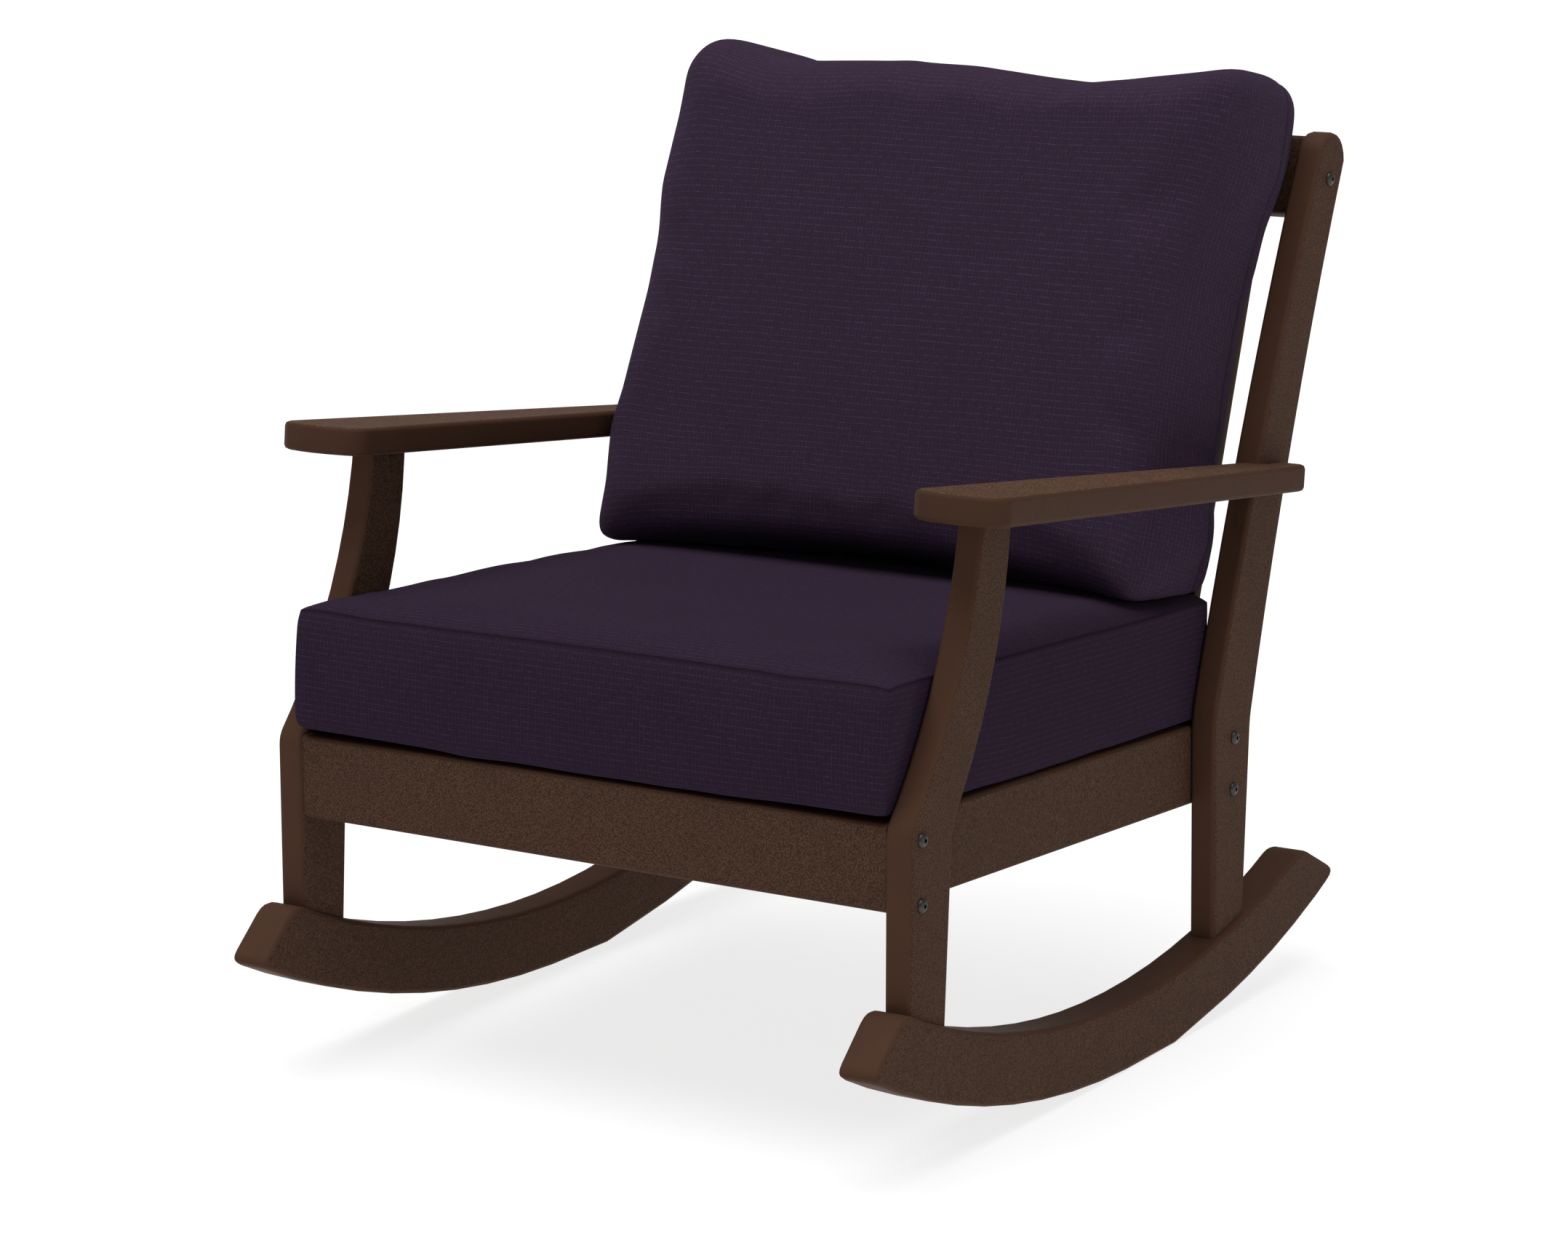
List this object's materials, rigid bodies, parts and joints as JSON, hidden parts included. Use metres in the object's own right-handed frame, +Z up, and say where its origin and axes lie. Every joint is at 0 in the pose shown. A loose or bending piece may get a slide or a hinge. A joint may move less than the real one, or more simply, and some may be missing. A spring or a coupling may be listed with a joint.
{
  "type": "rocking chair",
  "caption": "Porch rocking chair: a frame of thick boards on curved rockers, flat armrests, a slatted back, and a loose seat cushion and back cushion.",
  "frame": {"origin": "on the floor, under the middle of the chair's width and of its depth", "axes": "+Z up; the chair faces -Y; X runs across it, and the sitter's left is +X"},
  "size_m": [0.7504, 0.8749, 0.8872],
  "materials": {
    "lumber": "satin",
    "cloth": "matte",
    "steel": "satin"
  },
  "bodies": {
    "frame": {"armrest_left": "lumber", "armrest_right": "lumber", "back_leg_left": "lumber", "back_leg_right": "lumber", "back_slat_1": "lumber", "back_slat_2": "lumber", "back_slat_3": "lumber", "back_slat_4": "lumber", "back_slat_5": "lumber", "barrel_nut_front_lower_left": "steel", "barrel_nut_front_lower_right": "steel", "barrel_nut_front_upper_left": "steel", "barrel_nut_front_upper_right": "steel", "barrel_nut_rear_lower_left": "steel", "barrel_nut_rear_lower_right": "steel", "barrel_nut_rear_upper_left": "steel", "barrel_nut_rear_upper_right": "steel", "barrel_nut_top_left": "steel", "barrel_nut_top_right": "steel", "bolt_front_lower_left": "steel", "bolt_front_lower_right": "steel", "bolt_front_upper_left": "steel", "bolt_front_upper_right": "steel", "bolt_rear_lower_left": "steel", "bolt_rear_lower_right": "steel", "bolt_rear_upper_left": "steel", "bolt_rear_upper_right": "steel", "bolt_top_left": "steel", "bolt_top_right": "steel", "cleat_left": "lumber", "cleat_right": "lumber", "front_leg_left": "lumber", "front_leg_right": "lumber", "front_rail": "lumber", "lower_back_rail": "lumber", "plug_lower_left": "lumber", "plug_lower_right": "lumber", "plug_upper_left": "lumber", "plug_upper_right": "lumber", "rail_screw_lower_left": "steel", "rail_screw_lower_right": "steel", "rail_screw_upper_left": "steel", "rail_screw_upper_right": "steel", "rear_rail": "lumber", "rocker_left": "lumber", "rocker_right": "lumber", "rocker_screw_front_left": "steel", "rocker_screw_front_right": "steel", "rocker_screw_rear_left": "steel", "rocker_screw_rear_right": "steel", "seat_slat_1": "lumber", "seat_slat_2": "lumber", "seat_slat_3": "lumber", "seat_slat_4": "lumber", "seat_slat_5": "lumber", "side_rail_left": "lumber", "side_rail_right": "lumber", "top_back_rail": "lumber"},
    "seat_pad": {"seat_cushion": "cloth"},
    "back_pad": {"back_cushion": "cloth"}
  },
  "joints": [
    {"name": "seat_cushion_slide", "type": "slide", "parent": "frame", "child": "seat_pad", "axis": [0, -0.9988, 0.0499], "range_m": [0, 0.2]},
    {"name": "back_cushion_slide", "type": "slide", "parent": "frame", "child": "back_pad", "axis": [0, 0.3185, 0.9479], "range_m": [0, 0.25]}
  ]
}
